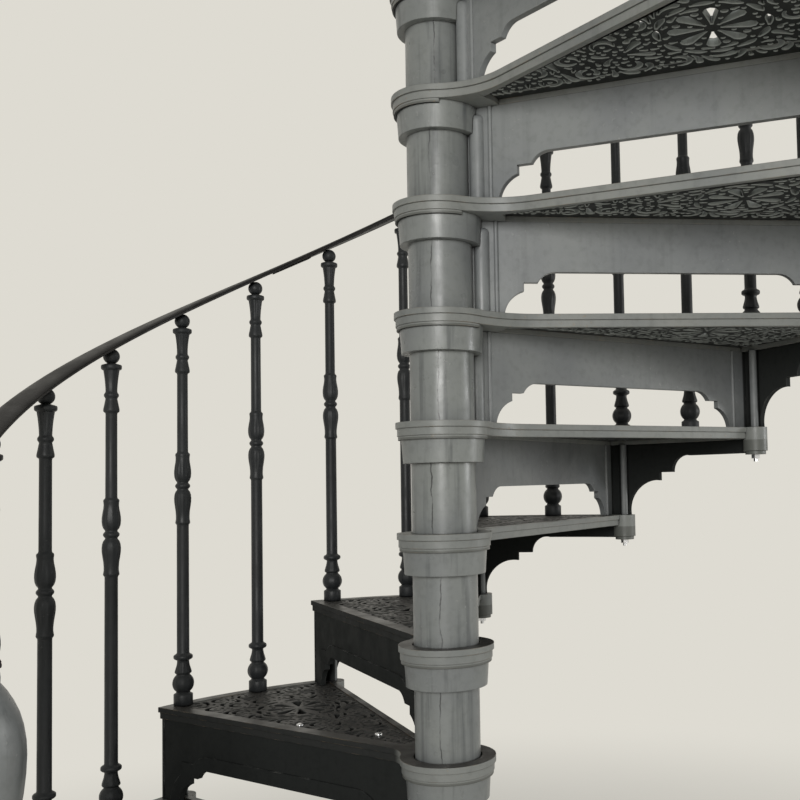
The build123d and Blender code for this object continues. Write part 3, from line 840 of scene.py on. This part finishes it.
# Height from the vase's widest ring, and radius
VASE = [
    (-240, 24.5), (-215, 27), (-185, 31.5), (-155, 38), (-125, 45.5), (-95, 53), (-70, 58.5), (-48, 62.4),
    (-24, 65), (0, 66), (18, 65.2), (38, 62), (54, 57.4), (69, 50.6), (82, 43), (92, 35.5), (98, 29),
    (101, 23), (103, 26.5), (107, 27.5), (111, 26), (114, NEWEL_TOP),
]
VASE_BELOW_RAIL = 124


def newel_profile():
    """Radius, height and fluting up the vase-shaped newel, from the floor to the rail."""
    top = RISE + RAIL_HEIGHT - NEWEL_TOP * RAIL_SLOPE - RAIL_GAP
    foot = RISE + 12
    vase = top - VASE_BELOW_RAIL
    post = [(0, 0), (46, 0), (46, foot - 2), (44.5, foot), (36.8, foot + 12), (41.4, foot + 21)]
    post += [(38, foot + 30), (24, foot + 42), (24, vase - 286), (31, vase - 280), (34, vase - 274)]
    post += [(34, vase - 264), (31, vase - 258), (24, vase - 250)]
    post += [(radius, vase + height) for height, radius in VASE]
    return [(radius, height, 0.0) for radius, height in post + [(NEWEL_TOP, top), (0, top)]]


newel_places = [Matrix.Translation((*polar(RAIL_CIRCLE * MM, FIRST), 0))]
newel = turned_mesh("newel_turned", newel_profile(), newel_places, 64, 0)
add_piece("newel_turned", newel, [column_paint], ["newel_post"])


# Handrail

# Half of its section, out from the middle and up
RAIL_HALF = [
    (0, 0), (10.8, 0), (11.4, 1.5), (13.4, 1.5), (14, 0), (17.4, 0), (18, 1.5), (20, 1.5), (20.6, 0.2),
    (23.6, 0), (24.7, 0.8), (25, 2.2), (25, 5), (24, 5.5), (24, 6.7), (24.9, 7.2), (24.2, 8.8),
    (21.6, 10.9), (17, 12.3), (9, 12.9), (0, 13),
]
RAIL_STEPS = 14
RAIL_START = -1.4
LANDING_RAIL_STEPS = 30


def rail_mesh():
    """Moulded handrail along the helix and round the landing."""
    section = RAIL_HALF + [(-x, z) for x, z in RAIL_HALF[-2:0:-1]]
    stations = []
    for k in [RAIL_START] + list(range(-1, RAIL_STEPS * TREADS + 1)):
        share = k / RAIL_STEPS
        stations.append((FIRST - TURN * share, RISE * (1 + share) + RAIL_HEIGHT))
    top = RISE * (1 + TREADS) + RAIL_HEIGHT
    for k in range(1, LANDING_RAIL_STEPS + 1):
        stations.append((FIRST - TURN * TREADS - LANDING_SWEEP * k / LANDING_RAIL_STEPS, top))
    vertices, faces = [], []
    for angle, height in stations:
        for x, z in section:
            spot = polar((RAIL_CIRCLE + x) * MM, angle)
            vertices.append((spot.x, spot.y, (height + z) * MM))
    size = len(section)
    for row in range(len(stations) - 1):
        low, high = row * size, (row + 1) * size
        for k in range(size):
            after = (k + 1) % size
            faces.append((low + k, high + k, high + after, low + after))
    faces.append(tuple(range(size)))
    faces.append(tuple(reversed(range((len(stations) - 1) * size, len(stations) * size))))
    mesh = mesh_from("handrail_bar", vertices, faces)
    mesh.set_sharp_from_angle(angle=math.radians(40))
    return mesh


add_piece("handrail_bar", rail_mesh(), [handrail_paint], ["handrail"])

# The one tread where the photograph shows screws, their places along and across it, and their profile
SCREWED_LEVEL = 4
SCREWS = ((402, 81), (219, 8))
SCREW_HEAD = [
    (0, -3, 0), (6.5, -3, 0), (7.5, -2, 0), (7.5, 0.4, 0), (6.6, 2, 0), (4.4, 3.2, 0), (0, 3.6, 0),
]
screw_places = []
for s, w in SCREWS:
    x, y = tread_field.to_plan(s, w)
    screw_places.append(at_level(SCREWED_LEVEL) @ Matrix.Translation((x * MM, y * MM, 0)))
screws = turned_mesh("screw_heads", SCREW_HEAD, screw_places, 16, 0)
add_piece("screw_heads", screws, [zinc])

# Materials of the pieces that stay as modelled, by the first word of their names
NODE_PAINTS = {
    "riser": riser_paint,
    "column": column_paint,
    "centre": column_paint,
    "base": column_paint,
    "newel": column_paint,
    "rail": handrail_paint,
    "fixing": zinc,
}
for name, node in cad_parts.items():
    material = NODE_PAINTS.get(name.split("_")[0])
    if material:
        node.data.materials.clear()
        node.data.materials.append(material)


# Camera, floor, background and light


def make_camera():
    """Camera where the photograph was taken from, just under the height of tread seven."""
    ahead = Vector((math.sin(YAW), math.cos(YAW), 0))
    side = Vector((math.cos(YAW), -math.sin(YAW), 0))
    up = Vector((0, 0, 1))
    forward = math.cos(PITCH) * ahead + math.sin(PITCH) * up
    lifted = math.cos(PITCH) * up - math.sin(PITCH) * ahead
    right = math.cos(ROLL) * side + math.sin(ROLL) * lifted
    top = math.cos(ROLL) * lifted - math.sin(ROLL) * side
    data = bpy.data.cameras.new("camera")
    data.sensor_width = SENSOR
    data.sensor_fit = "HORIZONTAL"
    data.lens = FOCAL / FRAME * SENSOR
    data.shift_x = (FRAME / 2 - CENTRE_X) / FRAME
    data.shift_y = (CENTRE_Y - FRAME / 2) / FRAME
    camera = add_object("camera", data)
    turned = Matrix((right, top, -forward)).transposed().to_4x4()
    camera.matrix_world = Matrix.Translation(CAMERA_PLACE) @ turned
    bpy.context.scene.camera = camera


BACKDROP = linear(222, 219, 210)
SKY_LIGHT = (0.96, 0.98, 1, 1)
SKY_STRENGTH = 0.24
FLOOR_HALF = 40


def background_ray(nodes, links):
    """1 where a ray from the camera, or a mirrored or clear one, looks at the background."""
    path = nodes.new("ShaderNodeLightPath")
    value = path.outputs["Is Camera Ray"]
    for name in ("Is Glossy Ray", "Is Transmission Ray"):
        both = nodes.new("ShaderNodeMath")
        both.operation = "MAXIMUM"
        links.new(value, both.inputs[0])
        links.new(path.outputs[name], both.inputs[1])
        value = both.outputs[0]
    return value


def make_floor():
    """Pale floor that keeps the stair's shadow and fades into the background's colour."""
    corners = [(x * FLOOR_HALF, y * FLOOR_HALF, 0) for x, y in ((-1, -1), (1, -1), (1, 1), (-1, 1))]
    floor = add_object("floor", mesh_from("floor", corners, [(0, 1, 2, 3)], smooth=False))
    n = Nodes("floor")
    colour = n.mix(n.ramp(n.noise(3, 4), 0.3, 0.7), linear(236, 233, 224), linear(230, 227, 218))
    n.link(colour, n.shader.inputs["Base Color"])
    n.shader.inputs["Roughness"].default_value = 0.9
    n.shader.inputs["Specular IOR Level"].default_value = 0.1
    far = n.ramp(n.vector("LENGTH", n.position), 1.5, 3.6, 0.45, 1.0)
    glow = n.add("ShaderNodeEmission")
    glow.inputs["Color"].default_value = BACKDROP
    mix = n.add("ShaderNodeMixShader")
    n.link(n.math("MULTIPLY", far, background_ray(n.tree.nodes, n.tree.links)), mix.inputs[0])
    n.link(n.shader.outputs[0], mix.inputs[1])
    n.link(glow.outputs[0], mix.inputs[2])
    n.link(mix.outputs[0], n.tree.nodes["Material Output"].inputs["Surface"])
    floor.data.materials.append(n.material)


def make_world():
    """Pale background for what looks at it, and a weak even light for all else."""
    world = bpy.data.worlds.new("studio")
    bpy.context.scene.world = world
    world.use_nodes = True
    nodes, links = world.node_tree.nodes, world.node_tree.links
    nodes.clear()
    mix = nodes.new("ShaderNodeMixShader")
    links.new(background_ray(nodes, links), mix.inputs[0])
    for socket, colour, strength in ((1, SKY_LIGHT, SKY_STRENGTH), (2, BACKDROP, 1.0)):
        shade = nodes.new("ShaderNodeBackground")
        shade.inputs["Color"].default_value = colour
        shade.inputs["Strength"].default_value = strength
        links.new(shade.outputs[0], mix.inputs[socket])
    links.new(mix.outputs[0], nodes.new("ShaderNodeOutputWorld").inputs[0])


# Name, place, target, size, power and colour of the two soft lights
LIGHTS = (
    ("key", (-0.7, -4.9, 2.3), (0, 0, 1.5), 1.8, 160, (1, 0.99, 0.97)),
    ("side", (4.2, 0.2, 1.7), (0, 0, 1.4), 1.0, 36, (0.98, 0.99, 1)),
)


def area_light(name, place, target, size, power, colour):
    data = bpy.data.lights.new(name, "AREA")
    data.shape = "DISK"
    data.size = size
    data.energy = power
    data.color = colour
    light = add_object(name, data)
    light.location = place
    light.rotation_mode = "QUATERNION"
    light.rotation_quaternion = (Vector(target) - Vector(place)).to_track_quat("-Z", "Y")


make_camera()
make_floor()
make_world()
for light in LIGHTS:
    area_light(*light)
bpy.context.scene.view_settings.view_transform = "Standard"

bpy.context.view_layer.update()
